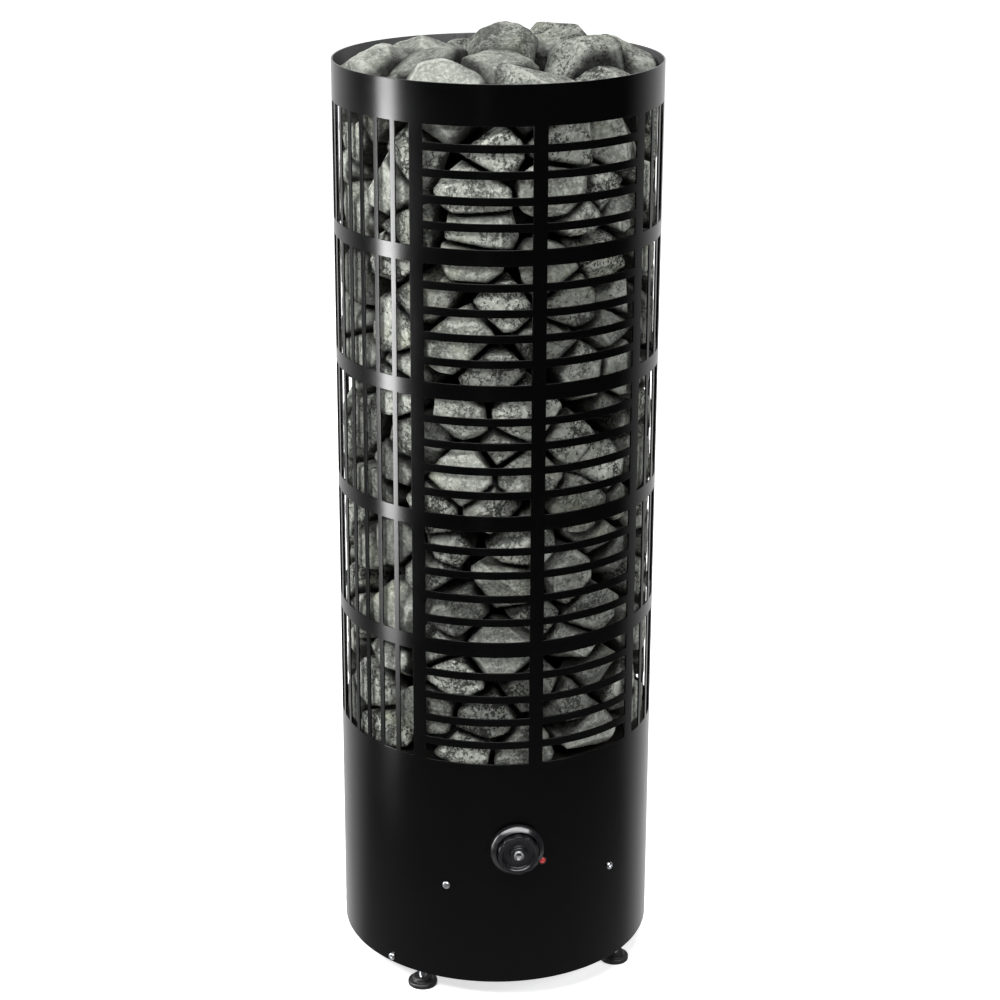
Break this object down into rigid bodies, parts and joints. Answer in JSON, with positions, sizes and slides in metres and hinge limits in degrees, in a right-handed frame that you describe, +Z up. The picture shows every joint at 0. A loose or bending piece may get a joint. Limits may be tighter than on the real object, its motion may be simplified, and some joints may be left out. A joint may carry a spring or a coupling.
{
  "type": "sauna heater stove",
  "caption": "Free-standing pillar sauna heater: a round slotted steel mantle full of stones over a plain casing with a rotary control and pilot lamp, on levelling feet.",
  "frame": {"origin": "on the heater's axis at floor level, in the plane that the foot pads stand in", "axes": "+Z up along the heater's axis, -Y to the front with the control, +X to the right seen from the front"},
  "size_m": [0.32, 0.3438, 0.9595],
  "materials": {
    "black_paint": "satin black heat-resistant paint",
    "bare_steel": "plain steel",
    "zinc": "zinc-plated",
    "chrome": "polished",
    "black_plastic": "satin gloss",
    "foot_plastic": "moulded",
    "lamp_red": "translucent",
    "button_red": "moulded",
    "terminal_ceramic": "unglazed",
    "wire_cover": "silicone sleeve",
    "stone": "rough grey-green rock"
  },
  "bodies": {
    "heater": {"mantle": "black_paint", "seam_strip": "black_paint", "base_plate": "bare_steel", "deck_plate": "bare_steel", "heat_shield": "zinc", "support_post_1": "zinc", "support_post_2": "zinc", "support_post_3": "zinc", "heating_element_1": "bare_steel", "heating_element_2": "bare_steel", "heating_element_3": "bare_steel", "element_flange_1": "zinc", "element_flange_2": "zinc", "element_flange_3": "zinc", "star_link": "zinc", "stone_course_01": "stone", "stone_course_02": "stone", "stone_course_03": "stone", "stone_course_04": "stone", "stone_course_05": "stone", "stone_course_06": "stone", "stone_course_07": "stone", "stone_course_08": "stone", "stone_course_09": "stone", "stone_course_10": "stone", "stone_course_11": "stone", "stone_heap": "stone", "control_bracket": "zinc", "control_unit": "black_plastic", "bush_nut": "zinc", "knob_bezel": "black_plastic", "indicator_body": "black_plastic", "indicator_lens": "lamp_red", "side_screw_left": "zinc", "side_screw_right": "zinc", "low_screw_1": "zinc", "low_screw_2": "zinc", "foot_nut_1": "zinc", "foot_nut_2": "zinc", "foot_nut_3": "zinc", "foot_nut_4": "zinc", "terminal_block": "terminal_ceramic", "cable_gland": "foot_plastic", "gland_nut": "foot_plastic", "overheat_limiter": "foot_plastic", "control_harness": "wire_cover"},
    "control": {"control_knob": "black_plastic", "knob_cap": "chrome", "control_spindle": "zinc"},
    "reset": {"reset_button": "button_red"},
    "foot_1": {"foot_pad_1": "foot_plastic", "foot_stem_1": "zinc"},
    "foot_2": {"foot_pad_2": "foot_plastic", "foot_stem_2": "zinc"},
    "foot_3": {"foot_pad_3": "foot_plastic", "foot_stem_3": "zinc"},
    "foot_4": {"foot_pad_4": "foot_plastic", "foot_stem_4": "zinc"}
  },
  "joints": [
    {"name": "control_turn", "type": "hinge", "parent": "heater", "child": "control", "pos_m": [-0.01839, -0.15894, 0.172], "axis": [0.1149, 0.9934, 0], "range_deg": [0, 300]},
    {"name": "reset_press", "type": "slide", "parent": "heater", "child": "reset", "axis": [0, 0, 1], "range_m": [0, 0.0025], "stiffness_N_per_m": 600},
    {"name": "foot_1_level", "type": "slide", "parent": "heater", "child": "foot_1", "axis": [0, 0, -1], "range_m": [-0.006, 0.015]},
    {"name": "foot_2_level", "type": "slide", "parent": "heater", "child": "foot_2", "axis": [0, 0, -1], "range_m": [-0.006, 0.015]},
    {"name": "foot_3_level", "type": "slide", "parent": "heater", "child": "foot_3", "axis": [0, 0, -1], "range_m": [-0.006, 0.015]},
    {"name": "foot_4_level", "type": "slide", "parent": "heater", "child": "foot_4", "axis": [0, 0, -1], "range_m": [-0.006, 0.015]}
  ]
}
